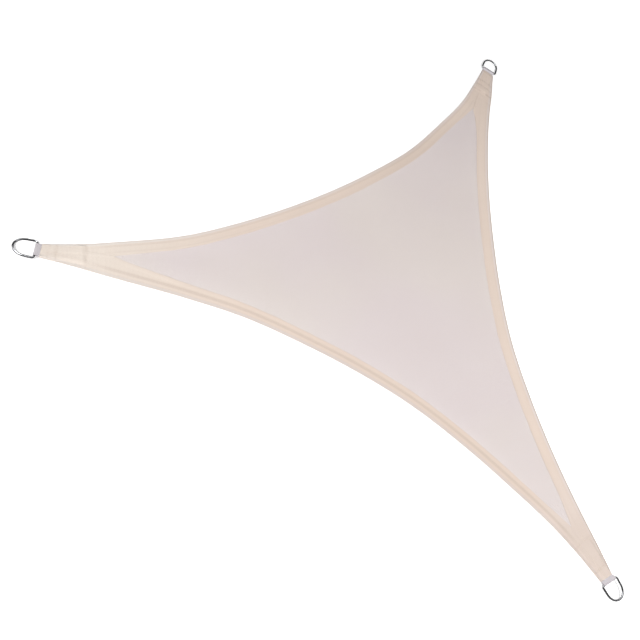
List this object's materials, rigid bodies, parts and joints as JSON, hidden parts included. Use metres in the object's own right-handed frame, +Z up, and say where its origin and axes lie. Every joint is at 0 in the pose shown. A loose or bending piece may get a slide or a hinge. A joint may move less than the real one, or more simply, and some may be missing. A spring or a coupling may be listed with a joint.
{
  "type": "triangular shade sail",
  "caption": "Triangular cloth shade sail with inward-curving hemmed edges and a steel D-ring on a webbing strap at each corner, spread out flat.",
  "frame": {"origin": "the sail's centre, on its underside, where it lies on a flat surface", "axes": "+Z up out of the cloth's upper face; -X towards the corner named left; +Y towards the corner named top, with the side from right to top running along Y"},
  "size_m": [1.8284, 2.1054, 0.0092],
  "materials": {
    "shade_cloth": "knitted shade cloth, sand to pale peach, matt",
    "webbing": "woven webbing, pale grey with a lilac cast",
    "ring_steel": "polished stainless steel"
  },
  "bodies": {
    "root": {"sail_cloth": "shade_cloth", "strap_left": "webbing", "strap_top": "webbing", "strap_right": "webbing", "ring_left": "ring_steel", "ring_top": "ring_steel", "ring_right": "ring_steel"}
  },
  "joints": []
}
